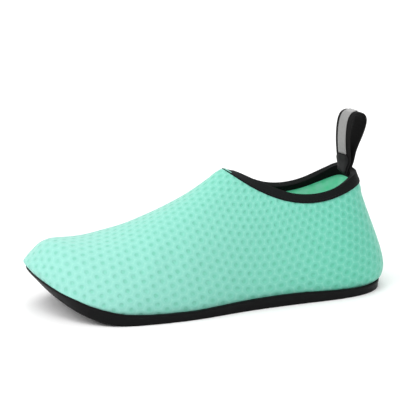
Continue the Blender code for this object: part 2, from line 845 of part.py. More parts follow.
def make_loop(collection):
    """The pull loop: one length of webbing whose two tails are sewn inside the heel."""
    half = WEBBING_THICKNESS / 2.0
    corners = ribbon_corners(loop_frames(), WEBBING_WIDTH, -half, half)
    loop = strip("pull_loop", corners, collection)
    finish(loop, "black_webbing", (0.010, 0.010, 0.010), 0.8)
    return loop


def make_stripe(collection):
    """The reflective stripe along the front and top of the loop's outer face."""
    frames = [part[STRIPE_FIRST:STRIPE_LAST] for part in loop_frames()]
    near = WEBBING_THICKNESS / 2.0 + FIT_GAP
    corners = ribbon_corners(frames, STRIPE_WIDTH, near, near + STRIPE_THICKNESS)
    stripe = strip("reflective_stripe", corners, collection)
    finish(stripe, "reflective_film", (0.42, 0.42, 0.42), 0.35)
    return stripe


def make_patch(collection):
    """The sewn patch that covers the front tail of the loop, round at its top."""
    low, high = PATCH_FOOT, PATCH_CROWN
    frames = []
    for part in loop_frames():
        crown = [
            part[high] + (part[high - 1] - part[high]) * share for share, _ in PATCH_ROUNDING
        ]
        frames.append(np.array([part[low], part[low - 1], part[high]] + crown))
    widths = [PATCH_WIDTH] * 3 + [PATCH_WIDTH * width for _, width in PATCH_ROUNDING]
    near = WEBBING_THICKNESS / 2.0 + FIT_GAP
    corners = ribbon_corners(frames, widths, near, near + PATCH_THICKNESS)
    patch = strip("loop_patch", corners, collection)
    finish(patch, "black_patch", (0.010, 0.010, 0.010), 0.75)
    return patch


def centre_over_origin(things):
    """Moves every piece so that the origin lies under the middle of the shoe's box."""
    corners = np.array([vert.co[:] for thing in things for vert in thing.data.vertices])
    low = corners.min(axis=0)
    high = corners.max(axis=0)
    shift = np.array([-(low[0] + high[0]) / 2.0, -(low[1] + high[1]) / 2.0, -low[2]])
    for thing in things:
        for vert in thing.data.vertices:
            vert.co.x += shift[0]
            vert.co.y += shift[1]
            vert.co.z += shift[2]
    print("shift", [round(float(value), 5) for value in shift])


def main():
    for thing in list(bpy.data.objects):
        bpy.data.objects.remove(thing, do_unlink=True)
    shoe = bpy.data.collections.new("water_shoe")
    cutters = bpy.data.collections.new("cutters")
    bpy.context.scene.collection.children.link(shoe)
    bpy.context.scene.collection.children.link(cutters)
    pieces = [
        make_upper(shoe),
        make_outsole(shoe, cutters),
        make_insole(shoe),
        make_binding(shoe),
        make_loop(shoe),
        make_stripe(shoe),
        make_patch(shoe),
    ]
    centre_over_origin(pieces)
    for cutter in cutters.objects:
        cutter.hide_render = True
        cutter.display_type = "WIRE"
    for piece in pieces:
        piece.data.calc_loop_triangles()
        print(piece.name, len(piece.data.loop_triangles), "triangles")


main()
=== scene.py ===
# %% [markdown]
# # A water shoe in stretch fabric and black rubber
#
# This lesson dresses a finished model of a slip-on water shoe. The frame already has every piece at its
# real size: the fabric upper, the rubber cup sole, the insole, the collar tape and the pull loop with
# its stripe and patch. Each cell below gives one of them its real surface, and adds what is too fine for
# a solid model: the cloth's dimples, soft folds, stitches and the tread's honeycomb.
#
# +Z is up, +X points to the toe, and +Y is the outer side of this left shoe. Lengths are in metres.

# %% The frame and its box
import math

import bmesh
import bpy
import numpy as np
from mathutils import Matrix, Vector
from mathutils.bvhtree import BVHTree


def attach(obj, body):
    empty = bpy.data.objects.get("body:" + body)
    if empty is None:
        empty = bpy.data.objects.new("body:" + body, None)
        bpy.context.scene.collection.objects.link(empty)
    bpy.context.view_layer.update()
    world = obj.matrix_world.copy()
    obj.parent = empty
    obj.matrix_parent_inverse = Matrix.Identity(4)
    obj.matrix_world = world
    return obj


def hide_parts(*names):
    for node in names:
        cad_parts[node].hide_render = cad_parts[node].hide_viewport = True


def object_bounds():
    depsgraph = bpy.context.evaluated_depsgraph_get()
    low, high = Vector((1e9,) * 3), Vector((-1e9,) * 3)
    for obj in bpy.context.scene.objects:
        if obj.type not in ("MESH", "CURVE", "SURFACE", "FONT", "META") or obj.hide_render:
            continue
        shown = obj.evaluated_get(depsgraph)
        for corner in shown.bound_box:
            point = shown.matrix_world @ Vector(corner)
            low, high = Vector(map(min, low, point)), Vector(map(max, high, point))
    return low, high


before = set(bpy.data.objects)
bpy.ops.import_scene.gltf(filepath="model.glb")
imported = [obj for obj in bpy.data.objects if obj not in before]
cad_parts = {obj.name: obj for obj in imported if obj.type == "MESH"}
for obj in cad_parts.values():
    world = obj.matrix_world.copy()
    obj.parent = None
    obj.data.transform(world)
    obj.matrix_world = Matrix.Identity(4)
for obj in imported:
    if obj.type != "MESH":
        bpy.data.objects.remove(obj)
cad_box = [list(corner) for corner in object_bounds()]
MM = 0.001
BODY = "root"
print("the frame's box in mm", [[round(value / MM, 1) for value in corner] for corner in cad_box])

# %% [markdown]
# ## The camera and the light come first
#
# A lens of 179 mm, 1.3 m away, gives the flat look of a catalogue picture. The camera stands a little
# above the shoe and a little round towards the toe, and is rolled by less than a degree. It could be
# placed by an empty and a Track To constraint, but a matrix built from three directions says plainly
# which way is right, up and back.

# %% The camera
VIEW_YAW = math.radians(17.2)
VIEW_ELEVATION = math.radians(16.5)
VIEW_ROLL = math.radians(-0.10)
VIEW_DISTANCE = 1.300
VIEW_LENS = 179.2
TURNED_ABOUT = Vector((0.0026, 0.0004, 0.0400))
AIMED_AT = Vector((0.0039, -0.0074, 0.0640))


def place_camera():
    """A camera on a sphere about the shoe, aimed and rolled by its three directions."""
    away = Vector((
        math.sin(VIEW_YAW) * math.cos(VIEW_ELEVATION),
        math.cos(VIEW_YAW) * math.cos(VIEW_ELEVATION),
        math.sin(VIEW_ELEVATION),
    ))
    eye = TURNED_ABOUT + away * VIEW_DISTANCE
    back = (eye - AIMED_AT).normalized()
    level = Vector((0.0, 0.0, 1.0)).cross(back).normalized()
    upright = back.cross(level)
    right = level * math.cos(VIEW_ROLL) + upright * math.sin(VIEW_ROLL)
    top = back.cross(right)
    camera = bpy.data.objects.new("camera", bpy.data.cameras.new("camera"))
    camera.matrix_world = Matrix((
        (right.x, top.x, back.x, eye.x),
        (right.y, top.y, back.y, eye.y),
        (right.z, top.z, back.z, eye.z),
        (0.0, 0.0, 0.0, 1.0),
    ))
    camera.data.lens = VIEW_LENS
    camera.data.clip_start = 0.05
    bpy.context.scene.collection.objects.link(camera)
    bpy.context.scene.camera = camera
    return eye


eye = place_camera()
print("camera at", [round(value, 3) for value in eye])

# %% [markdown]
# The picture was taken on a white sweep under wide soft lamps, so there is hardly a shadow except right
# under the shoe. Large area lamps do that: the wider a lamp is, the softer the edge of its shadow. The
# Standard view transform keeps white paper white, where the filmic ones would turn it grey.

# %% The light and the floor
# Each lamp has its place, its power and its width.
KEY_LAMP = ((0.90, 0.25, 1.15), 13.5, 1.2)
FILL_LAMP = ((0.00, 0.80, 1.15), 3.6, 0.6)
RIM_LAMP = ((-0.50, -0.90, 0.90), 5.0, 0.9)
SKY_STRENGTH = 0.70
FLOOR_HALF = 3.0


def linear(hex_colour):
    """An sRGB hex value as the linear colour that shaders use."""
    shares = [int(hex_colour[place:place + 2], 16) / 255.0 for place in (1, 3, 5)]
    curved = [s / 12.92 if s <= 0.04045 else ((s + 0.055) / 1.055) ** 2.4 for s in shares]
    return (*curved, 1.0)


def lamp(name, place, power, width):
    """A square area lamp that faces the shoe."""
    light = bpy.data.lights.new(name, "AREA")
    light.energy = power
    light.size = width
    thing = bpy.data.objects.new(name, light)
    thing.location = place
    thing.rotation_euler = (AIMED_AT - Vector(place)).to_track_quat("-Z", "Y").to_euler()
    bpy.context.scene.collection.objects.link(thing)


def add(material, kind, settings=None, links=None):
    """Adds one node: lower-case settings are its options, and the rest are its sockets' values."""
    node = material.node_tree.nodes.new(kind)
    for name, value in (settings or {}).items():
        if isinstance(name, str) and name[0].islower():
            setattr(node, name, value)
        else:
            node.inputs[name].default_value = value
    for name, source in (links or {}).items():
        material.node_tree.links.new(source, node.inputs[name])
    return node


def start_material(name, hex_colour, roughness, **sockets):
    """A Principled material with constants on its own sockets."""
    material = bpy.data.materials.new(name)
    material.use_nodes = True
    shader = material.node_tree.nodes["Principled BSDF"]
    shader.inputs["Base Color"].default_value = linear(hex_colour)
    shader.inputs["Roughness"].default_value = roughness
    for socket, value in sockets.items():
        shader.inputs[socket.replace("_", " ")].default_value = value
    return material, shader


def wire(material, source, shader, socket):
    material.node_tree.links.new(source, shader.inputs[socket])


def make_studio():
    """The lamps, the sky and the white sweep."""
    lamp("key_lamp", *KEY_LAMP)
    lamp("fill_lamp", *FILL_LAMP)
    lamp("rim_lamp", *RIM_LAMP)
    world = bpy.data.worlds.new("studio")
    world.use_nodes = True
    sky = world.node_tree.nodes["Background"]
    sky.inputs["Color"].default_value = (1.0, 1.0, 1.0, 1.0)
    sky.inputs["Strength"].default_value = SKY_STRENGTH
    bpy.context.scene.world = world
    bpy.context.scene.view_settings.view_transform = "Standard"
    shape = bmesh.new()
    bmesh.ops.create_grid(shape, x_segments=1, y_segments=1, size=FLOOR_HALF)
    mesh = bpy.data.meshes.new("floor")
    shape.to_mesh(mesh)
    shape.free()
    floor = bpy.data.objects.new("floor", mesh)
    bpy.context.scene.collection.objects.link(floor)
    paper, _ = start_material("white_sweep_paper", "#FDFDFD", 0.9)
    mesh.materials.append(paper)


make_studio()

# %% [markdown]
# ## Tools for copying a piece of the frame
#
# A node of the frame is loose triangles. To smooth one, a copy is welded and its triangles are joined
# back into the quads that they came from, because Subdivision Surface flows along quads. The sole isn't
# smoothed that way, so it keeps its triangles. Where two faces meet at a sharp corner the edge is
# creased, so that the corner stays.

# %% Copies and loops
WELD = 1e-6
HALF_TURN = math.radians(180.0)
SHARP = math.radians(55.0)


def welded(node_name, quads=True):
    """A bmesh copy of a node, welded and, if asked, made of quads where it can be."""
    shape = bmesh.new()
    shape.from_mesh(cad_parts[node_name].data)
    bmesh.ops.remove_doubles(shape, verts=shape.verts, dist=WELD)
    if quads:
        bmesh.ops.join_triangles(
            shape, faces=shape.faces, angle_face_threshold=HALF_TURN,
            angle_shape_threshold=HALF_TURN, topology_influence=2.0,
        )
    return shape


def piece_from(shape, name, *materials):
    """A shown object from a bmesh, riding on the shoe."""
    mesh = bpy.data.meshes.new(name)
    shape.to_mesh(mesh)
    shape.free()
    piece = bpy.data.objects.new(name, mesh)
    bpy.context.scene.collection.objects.link(piece)
    for material in materials:
        mesh.materials.append(material)
    mesh.shade_smooth()
    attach(piece, BODY)
    return piece


def is_sharp(edge, angle=SHARP):
    return len(edge.link_faces) == 2 and edge.calc_face_angle() > angle


def crease_sharp(shape, amount, angle=SHARP):
    """Keeps the corners of a piece that is going to be smoothed."""
    layer = shape.edges.layers.float.new("crease_edge")
    for edge in shape.edges:
        if is_sharp(edge, angle):
            edge[layer] = amount


def sharp_loops(shape):
    """The closed loops that sharp edges make, each as a list of points in order."""
    left = {edge for edge in shape.edges if is_sharp(edge)}
    loops = []
    while left:
        edge = left.pop()
        first, here = edge.verts
        loop = [first.co.copy(), here.co.copy()]
        while here is not first:
            ahead = [other for other in here.link_edges if other in left]
            if not ahead:
                break
            left.discard(ahead[0])
            here = ahead[0].other_vert(here)
            if here is not first:
                loop.append(here.co.copy())
        loops.append(loop)
    return loops


def region(seed, angle=SHARP):
    """The faces that are reached from one face without crossing a sharp edge."""
    found = {seed}
    front = [seed]
    while front:
        face = front.pop()
        for edge in face.edges:
            if is_sharp(edge, angle):
                continue
            for other in edge.link_faces:
                if other not in found:
                    found.add(other)
                    front.append(other)
    return found


def hold_shape(piece, rounds=4):
    """Moves a cage outwards until its smooth surface passes through the frame's own points."""
    wanted = np.array([vert.co[:] for vert in piece.data.vertices])
    for _ in range(rounds):
        view = bpy.context.evaluated_depsgraph_get()
        smooth = piece.evaluated_get(view).data
        got = np.array([smooth.vertices[place].co[:] for place in range(len(wanted))])
        for vert, step in zip(piece.data.vertices, wanted - got):
            vert.co += Vector(step)
        piece.data.update()
        bpy.context.view_layer.update()
    print(piece.name, "is within", round(float(np.abs(wanted - got).max()) / MM, 2), "mm")


def smooth_by(piece, levels):
    """Subdivision Surface with the same levels in the viewport and the render."""
    modifier = piece.modifiers.new("smooth", "SUBSURF")
    modifier.levels = levels
    modifier.render_levels = levels
    modifier.boundary_smooth = "PRESERVE_CORNERS"
    bpy.context.view_layer.update()


def apply_modifiers(piece):
    """Keeps the evaluated mesh as the piece's own."""
    view = bpy.context.evaluated_depsgraph_get()
    mesh = bpy.data.meshes.new_from_object(piece.evaluated_get(view))
    piece.modifiers.clear()
    piece.data = mesh


# %% [markdown]
# ## The upper's cloth
#
# The real upper is a two-layer stretch cloth, polyester with elastane, embossed with a lattice of small
# round dimples. Seen closely, each dimple is a little darker, because it is a hollow and its nap lies
# the other way, and the cloth between them is a little lighter. Both are painted into its colour, as
# painted shade in each dimple and a painted highlight between them. The lattice follows the cloth and not
# the space around it, so it is drawn on a UV map in metres, unwrapped with a seam at the heel as a
# shoemaker's pattern is. A voronoi texture would scatter the dimples, while a triangular lattice is two
# rectangular ones, one shifted by half a cell, of which the nearer point counts.
#
# Toward the toe the cloth looks paler, where more light falls on it. So its colour is painted paler toward
# the toe and darker toward the heel, as painted light and painted shade along the shoe, and the two
# colours were chosen by comparing renders with a photograph. That is a guess, because light alone could
# look the same, and the two colours were chosen by comparing renders with a photograph. So was the lining's
# faint glow, a painted glow that stands for light that comes through thin cloth.

# %% The cloth's material
DIMPLE_PITCH = 6.2 * MM
DIMPLE_ROW = 4.9 * MM
DIMPLE_CORE = 0.5 * MM
DIMPLE_EDGE = 1.8 * MM
DIMPLE_DEPTH = 0.30 * MM
KNIT_PITCH = 0.8 * MM  # drawn about twice as coarse as the real knit, so that it shows
# The cloth's colour is painted darker at the heel and paler at the toe: painted shade and painted light
# along the shoe.
CLOTH_HEEL_SHADED = "#64C2A9"
CLOTH_TOE_LIT = "#8CCDBF"
# A painted highlight on the cloth between the dimples.
CLOTH_RIDGE_HIGHLIGHT = "#A2DCCD"
# Painted shade inside each dimple.
DIMPLE_SHADE = "#D9F0E6"  # multiplied over the cloth inside a dimple
# Where the painted light along the shoe starts and ends.
PAINTED_LIGHT_FROM = -90.0 * MM
PAINTED_LIGHT_TO = 90.0 * MM
LINING_DEEP = "#86F5CB"
LINING_BRIGHT = "#B4FFE4"
# A painted glow on the lining, for light that comes through thin cloth.
LINING_GLOW = "#5CDDB4"
GLOW_STRENGTH = 0.12


def lattice_distance(material, cloth, shift):
    """Distance on the cloth to the nearest point of one rectangular lattice."""
    cell = (DIMPLE_PITCH, 2.0 * DIMPLE_ROW, 1.0)
    scaled = add(material, "ShaderNodeVectorMath", {"operation": "DIVIDE", 1: cell}, {0: cloth})
    moved = add(
        material, "ShaderNodeVectorMath", {"operation": "ADD", 1: (shift, shift, 0.0)},
        {0: scaled.outputs["Vector"]},
    )
    share = add(
        material, "ShaderNodeVectorMath", {"operation": "FRACTION"}, {0: moved.outputs["Vector"]}
    )
    centred = add(
        material, "ShaderNodeVectorMath", {"operation": "SUBTRACT", 1: (0.5, 0.5, 0.0)},
        {0: share.outputs["Vector"]},
    )
    sized = add(
        material, "ShaderNodeVectorMath", {"operation": "MULTIPLY", 1: (cell[0], cell[1], 0.0)},
        {0: centred.outputs["Vector"]},
    )
    return add(
        material, "ShaderNodeVectorMath", {"operation": "LENGTH"}, {0: sized.outputs["Vector"]}
    ).outputs["Value"]


def dimpled_cloth():
    """Mint stretch knit, heat-embossed: soft, matt, with a faint nap that catches the light."""
    material, shader = start_material(
        "mint_embossed_spandex", CLOTH_HEEL_SHADED, 0.78,
        Sheen_Weight=0.35, Sheen_Roughness=0.40, Specular_IOR_Level=0.40,
    )
    cloth = add(material, "ShaderNodeUVMap", {"uv_map": "cloth"}).outputs["UV"]
    waver = add(
        material, "ShaderNodeTexNoise", {"Scale": 1.0 / (14.0 * MM), "Detail": 1.0}, {"Vector": cloth}
    )
    drift = add(
        material, "ShaderNodeVectorMath", {"operation": "SCALE", "Scale": 0.9 * MM},
        {0: waver.outputs["Color"]},
    )
    woven = add(
        material, "ShaderNodeVectorMath", {"operation": "ADD"}, {0: cloth, 1: drift.outputs["Vector"]}
    ).outputs["Vector"]
    near = lattice_distance(material, woven, 0.0)
    far = lattice_distance(material, woven, 0.5)
    closest = add(material, "ShaderNodeMath", {"operation": "MINIMUM"}, {0: near, 1: far})
    height = add(
        material, "ShaderNodeMapRange",
        {"interpolation_type": "SMOOTHSTEP", "From Min": DIMPLE_CORE, "From Max": DIMPLE_EDGE},
        {"Value": closest.outputs["Value"]},
    ).outputs["Result"]
    patchy = add(
        material, "ShaderNodeTexNoise", {"Scale": 1.0 / (9.0 * MM), "Detail": 2.0}, {"Vector": cloth}
    )
    strength = add(
        material, "ShaderNodeMapRange", {"From Min": 0.3, "From Max": 0.7, "To Min": 0.45, "To Max": 1.0},
        {"Value": patchy.outputs["Fac"]},
    )
    # Painted shade in each dimple, patchy across the cloth.
    hollow = add(material, "ShaderNodeMath", {"operation": "SUBTRACT", 0: 1.0}, {1: height})
    dark = add(
        material, "ShaderNodeMath", {"operation": "MULTIPLY"},
        {0: hollow.outputs["Value"], 1: strength.outputs["Result"]},
    )
    # A painted highlight on the cloth between the dimples.
    ridge = add(
        material, "ShaderNodeMapRange",
        {"From Min": 2.4 * MM, "From Max": 3.5 * MM, "To Max": 0.40, "interpolation_type": "SMOOTHSTEP"},
        {"Value": closest.outputs["Value"]},
    )
    # Painted light and painted shade along the shoe: the colour turns paler toward the toe and darker
    # toward the heel.
    place = add(material, "ShaderNodeTexCoord").outputs["Object"]
    along = add(material, "ShaderNodeSeparateXYZ", {}, {"Vector": place})
    stretch = add(
        material, "ShaderNodeMapRange", {"From Min": PAINTED_LIGHT_FROM, "From Max": PAINTED_LIGHT_TO},
        {"Value": along.outputs["X"]},
    )
    ground = add(
        material, "ShaderNodeMix", {"data_type": "RGBA", 6: linear(CLOTH_HEEL_SHADED), 7: linear(CLOTH_TOE_LIT)},
        {0: stretch.outputs["Result"]},
    )
    lit = add(
        material, "ShaderNodeMix", {"data_type": "RGBA", 7: linear(CLOTH_RIDGE_HIGHLIGHT)},
        {0: ridge.outputs["Result"], 6: ground.outputs[2]},
    )
    colour = add(
        material, "ShaderNodeMix",
        {"data_type": "RGBA", "blend_type": "MULTIPLY", 7: linear(DIMPLE_SHADE)},
        {0: dark.outputs["Value"], 6: lit.outputs[2]},
    )
    wire(material, colour.outputs[2], shader, "Base Color")
    knit = add(
        material, "ShaderNodeTexVoronoi", {"Scale": 1.0 / KNIT_PITCH, "voronoi_dimensions": "2D"},
        {"Vector": cloth},
    )
    fine = add(
        material, "ShaderNodeBump", {"Strength": 0.25, "Distance": 0.12 * MM},
        {"Height": knit.outputs["Distance"]},
    )
    deep = add(
        material, "ShaderNodeBump", {"Strength": 1.0, "Distance": DIMPLE_DEPTH},
        {"Height": height, "Normal": fine.outputs["Normal"]},
    )
    wire(material, deep.outputs["Normal"], shader, "Normal")
    return material


def brushed_lining():
    """The cloth's brushed back, inside the collar: greener, fuzzy, matt, with a faint painted glow."""
    material, shader = start_material(
        "brushed_mint_lining", LINING_DEEP, 0.95, Sheen_Weight=0.3, Sheen_Roughness=0.6,
        Specular_IOR_Level=0.15, Emission_Color=linear(LINING_GLOW), Emission_Strength=GLOW_STRENGTH,
    )
    place = add(material, "ShaderNodeTexCoord").outputs["Object"]
    fuzz = add(
        material, "ShaderNodeTexNoise", {"Scale": 1.0 / (1.3 * MM), "Detail": 4.0, "Roughness": 0.7},
        {"Vector": place},
    )
    clumps = add(
        material, "ShaderNodeTexNoise", {"Scale": 1.0 / (7.0 * MM), "Detail": 2.0}, {"Vector": place}
    )
    shade = add(
        material, "ShaderNodeMapRange", {"From Min": 0.35, "From Max": 0.65},
        {"Value": clumps.outputs["Fac"]},
    )
    colour = add(
        material, "ShaderNodeMix",
        {"data_type": "RGBA", 6: linear(LINING_DEEP), 7: linear(LINING_BRIGHT)},
        {0: shade.outputs["Result"]},
    )
    wire(material, colour.outputs[2], shader, "Base Color")
    bump = add(
        material, "ShaderNodeBump", {"Strength": 0.7, "Distance": 0.35 * MM},
        {"Height": fuzz.outputs["Fac"]},
    )
    wire(material, bump.outputs["Normal"], shader, "Normal")
    return material


cloth_material = dimpled_cloth()
lining_material = brushed_lining()

# %% [markdown]
# ## The upper's shape
#
# The copy of the frame's upper is one closed wall. Its outer skin is found by spreading over the mesh
# from a face on the outer side until a sharp edge stops it. That skin is unwrapped by Blender's own
# minimum-stretch unwrap, turned so that the dimples' rows lie as they do on the real shoe, and scaled to
# metres.

# %% The upper, unwrapped
ROW_TILT = math.radians(5.0)
HEEL_SEAM_WIDTH = 1.0 * MM
SIDE_SAMPLE = 0.030


def outer_skin(shape):
    """The faces of the upper's outside."""
    seed = max(shape.faces, key=lambda face: face.calc_center_median().y)
    return region(seed)


def mark_heel_seam(shape, skin):
    """A seam up the back of the heel, from the sole to the collar."""
    back = min(vert.co.x for vert in shape.verts)
    for edge in shape.edges:
        low, high = edge.verts
        level = abs(low.co.y) < HEEL_SEAM_WIDTH and abs(high.co.y) < HEEL_SEAM_WIDTH
        behind = max(low.co.x, high.co.x) < back + 25.0 * MM
        if level and behind and all(face in skin for face in edge.link_faces):
            edge.seam = True


def unwrap_skin(piece):
    """Unwraps the faces that wear the first material."""
    mesh = piece.data
    mesh.uv_layers.new(name="cloth")
    for face in mesh.polygons:
        face.select = face.material_index == 0
    bpy.context.view_layer.objects.active = piece
    piece.select_set(True)
    bpy.context.tool_settings.mesh_select_mode = (False, False, True)
    bpy.ops.object.mode_set(mode="EDIT")
    bpy.ops.uv.unwrap(method="MINIMUM_STRETCH", margin=0.0)
    bpy.ops.object.mode_set(mode="OBJECT")
    piece.select_set(False)


def size_cloth(piece):
    """Scales the UV map to metres and turns it so that the rows run along the outer side."""
    mesh = piece.data
    uv = mesh.uv_layers["cloth"].data
    skin = [face for face in mesh.polygons if face.material_index == 0]
    drawn = 0.0
    real = 0.0
    rows = []
    steps = []
    for face in skin:
        corners = [(mesh.vertices[mesh.loops[i].vertex_index].co, uv[i].uv) for i in face.loop_indices]
        for (here, here_uv), (after, after_uv) in zip(corners, corners[1:] + corners[:1]):
            drawn += (after_uv - here_uv).length
            real += (after - here).length
            if abs(here.x) < SIDE_SAMPLE and here.y > 20.0 * MM and 10.0 * MM < here.z < 45.0 * MM:
                rows.append((after_uv - here_uv)[:])
                steps.append((after.x - here.x, after.z - here.z))
    scale = real / drawn
    turn = np.linalg.lstsq(np.array(rows) * scale, np.array(steps), rcond=None)[0]
    angle = math.atan2(turn[0, 1] - turn[1, 0], turn[0, 0] + turn[1, 1]) - ROW_TILT
    flipped = np.linalg.det(turn) < 0.0
    print("cloth scale", round(scale, 3), "turned", round(math.degrees(angle)), "mirrored", flipped)
    for corner in uv:
        x, y = corner.uv * scale
        corner.uv = (
            x * math.cos(angle) - y * math.sin(angle), x * math.sin(angle) + y * math.cos(angle)
        )


def make_upper():
    """The upper as a cage in the frame's own quads, with cloth outside and lining inside."""
    shape = welded("upper")
    skin = outer_skin(shape)
    for face in shape.faces:
        face.material_index = 0 if face in skin else 1
    mark_heel_seam(shape, skin)
    crease_sharp(shape, 0.8)
    piece = piece_from(shape, "upper_cloth", cloth_material, lining_material)
    unwrap_skin(piece)
    size_cloth(piece)
    smooth_by(piece, 2)
    hold_shape(piece)
    apply_modifiers(piece)
    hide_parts("upper")
    return piece


upper = make_upper()
print("the upper has", len(upper.data.polygons), "faces")

# %% [markdown]
# ## Soft folds
#
# The cloth is pulled over the last and glued at the sole, so it is nearly smooth: a slack trough where
# the toes bend, a crease at the toe's tip, and small puckers where the collar tape gathers the edge. A
# cloth simulation would make folds of its own, so these are listed one by one. Each is a line in the shoe's
# own sizes with a soft trough along it and a low ridge on both sides. The whole wall moves, so that it
# keeps its thickness.
#
# One fault is left. At the collar's front the cloth comes out through the tape, by about 0.3 mm, partly
# from the roll laid here and partly from the smoothing before it.

# %% Folds, listed one by one
FOLD_COLUMNS = ("from_x", "from_y", "from_z", "to_x", "to_y", "to_z", "width", "depth")
# Places are shares of the shoe's box from its middle, and width and depth are in millimetres.
FOLDS = (
    (0.22, 0.20, 0.44, 0.26, 0.46, 0.20, 7.0, 0.50),
    (0.22, -0.20, 0.44, 0.27, -0.48, 0.20, 7.0, 0.50),
    (0.12, 0.24, 0.52, 0.17, 0.50, 0.24, 6.0, 0.30),
    (0.12, -0.24, 0.52, 0.17, -0.48, 0.24, 6.0, 0.30),
    (0.45, 0.20, 0.27, 0.48, -0.25, 0.28, 4.0, 0.45),
    (0.40, 0.36, 0.22, 0.35, 0.46, 0.14, 4.0, 0.25),
    (-0.02, 0.40, 0.40, 0.08, 0.47, 0.22, 9.0, 0.35),
    (-0.38, 0.27, 0.42, -0.43, 0.29, 0.16, 6.0, 0.30),
    (-0.38, -0.27, 0.42, -0.43, -0.29, 0.16, 6.0, 0.30),
    (-0.10, 0.30, 0.55, -0.16, 0.36, 0.40, 5.0, 0.25),
)
COLLAR_POINTS = 40  # a loop round the whole collar has more points than this
PUCKER_COUNT = 46
PUCKER_HEIGHT = 0.14 * MM
ROLL_HEIGHT = 0.45 * MM
ROLL_PLACE = 4.0 * MM
ROLL_WIDTH = 2.6 * MM
SOLE_TOP = 12.0 * MM
SOLE_FADE = 8.0 * MM


def distance_to_line(points, start, end):
    """Distance of each point to a straight piece of line, and how far along it lies."""
    along = end - start
    share = np.clip((points - start) @ along / (along @ along), 0.0, 1.0)
    return np.linalg.norm(points - start - share[:, None] * along, axis=1), share


def fold_heights(points):
    """How far the folds move each point outwards."""
    low, high = np.array(cad_box)
    middle = (low + high) / 2.0
    middle[2] = low[2]
    size = high - low
    heights = np.zeros(len(points))
    for row in FOLDS:
        fold = dict(zip(FOLD_COLUMNS, row))
        start = middle + size * np.array([fold["from_x"], fold["from_y"], fold["from_z"]])
        end = middle + size * np.array([fold["to_x"], fold["to_y"], fold["to_z"]])
        away, share = distance_to_line(points, start, end)
        away = away / (fold["width"] * MM)
        fade = np.sin(np.pi * np.clip(share, 0.06, 0.94)) ** 0.5
        trough = np.exp(-(away**2)) - 0.45 * np.exp(-((away - 1.7) ** 2))
        heights -= fold["depth"] * MM * trough * fade
    return heights


def collar_line():
    """The outer lower edge of the collar tape, as points in order."""
    shape = welded("collar_binding")
    loops = [loop for loop in sharp_loops(shape) if len(loop) > COLLAR_POINTS]
    shape.free()
    widths = [max(p.y for p in loop) - min(p.y for p in loop) for loop in loops]
    return np.array([point[:] for point in loops[int(np.argmax(widths))]])


def nearest_on_line(points, line):
    """For each point, its distance to a closed line of points and the turn at which that is."""
    best = np.full(len(points), 1.0)
    turn = np.zeros(len(points))
    for place, start in enumerate(line):
        end = line[(place + 1) % len(line)]
        away, share = distance_to_line(points, start, end)
        closer = away < best
        best[closer] = away[closer]
        turn[closer] = (place + share[closer]) / len(line)
    return best, turn


def lay_folds(piece):
    """Moves the wall by the folds, and rolls and puckers it under the collar tape."""
    mesh = piece.data
    points = np.array([vert.co[:] for vert in mesh.vertices])
    normals = np.array([vert.normal[:] for vert in mesh.vertices])
    inside = np.zeros(len(points), dtype=bool)
    for face in mesh.polygons:
        if face.material_index == 1:
            inside[list(face.vertices)] = True
    heights = fold_heights(points)
    away, turn = nearest_on_line(points, collar_line())
    roll = np.exp(-(((away - ROLL_PLACE) / ROLL_WIDTH) ** 2))
    wave = np.cos(turn * 2.0 * math.pi * PUCKER_COUNT)
    heights += np.where(inside, 0.0, roll * (ROLL_HEIGHT + PUCKER_HEIGHT * wave))
    heights *= np.clip((points[:, 2] - SOLE_TOP) / SOLE_FADE, 0.0, 1.0)
    outwards = np.where(inside, -1.0, 1.0)[:, None] * normals
    for vert, step in zip(mesh.vertices, outwards * heights[:, None]):
        vert.co += Vector(step)
    mesh.update()
    print("folds move the cloth by", round(float(np.abs(heights).max()) / MM, 2), "mm at most")


lay_folds(upper)

# %% [markdown]
# ## The rubber sole
#
# The cup sole is moulded thermoplastic rubber: near black, satin from the mould, and a little paler
# where light grazes it. Its fine grain comes from the sand-blasted mould, so it is a bump and not a
# shape. Where the tread's discs meet the ground they carry a fine crossed grip pattern.

# %% Rubber
RUBBER = "#0A0A0B"
GRIP_SQUARE = 0.9 * MM
LARGEST_DISC = 45.0 * MM
TREAD_SHARP = math.radians(40.0)
SHADE_SHARP = math.radians(32.0)


def moulded_rubber():
    material, shader = start_material(
        "black_moulded_tpr", RUBBER, 0.46, Specular_IOR_Level=0.10
    )
    place = add(material, "ShaderNodeTexCoord").outputs["Object"]
    grain = add(
        material, "ShaderNodeTexNoise", {"Scale": 1.0 / (0.5 * MM), "Detail": 2.0}, {"Vector": place}
    )
    cloudy = add(
        material, "ShaderNodeTexNoise", {"Scale": 1.0 / (12.0 * MM), "Detail": 2.0}, {"Vector": place}
    )
    rough = add(
        material, "ShaderNodeMapRange", {"To Min": 0.38, "To Max": 0.56}, {"Value": cloudy.outputs["Fac"]}
    )
    wire(material, rough.outputs["Result"], shader, "Roughness")
    bump = add(
        material, "ShaderNodeBump", {"Strength": 0.15, "Distance": 0.08 * MM},
        {"Height": grain.outputs["Fac"]},
    )
    wire(material, bump.outputs["Normal"], shader, "Normal")
    return material


def gripping_rubber():
    """The same rubber with small raised squares, set cornerwise."""
    material, shader = start_material("black_grip_tpr", RUBBER, 0.5, Specular_IOR_Level=0.18)
    place = add(material, "ShaderNodeTexCoord").outputs["Object"]
    turned = add(
        material, "ShaderNodeVectorRotate", {"rotation_type": "Z_AXIS", "Angle": math.radians(45.0)},
        {"Vector": place},
    )
    squares = add(
        material, "ShaderNodeTexChecker", {"Scale": 1.0 / GRIP_SQUARE}, {"Vector": turned.outputs["Vector"]}
    )
    bump = add(
        material, "ShaderNodeBump", {"Strength": 1.0, "Distance": 0.25 * MM},
        {"Height": squares.outputs["Fac"]},
    )
    wire(material, bump.outputs["Normal"], shader, "Normal")
    return material


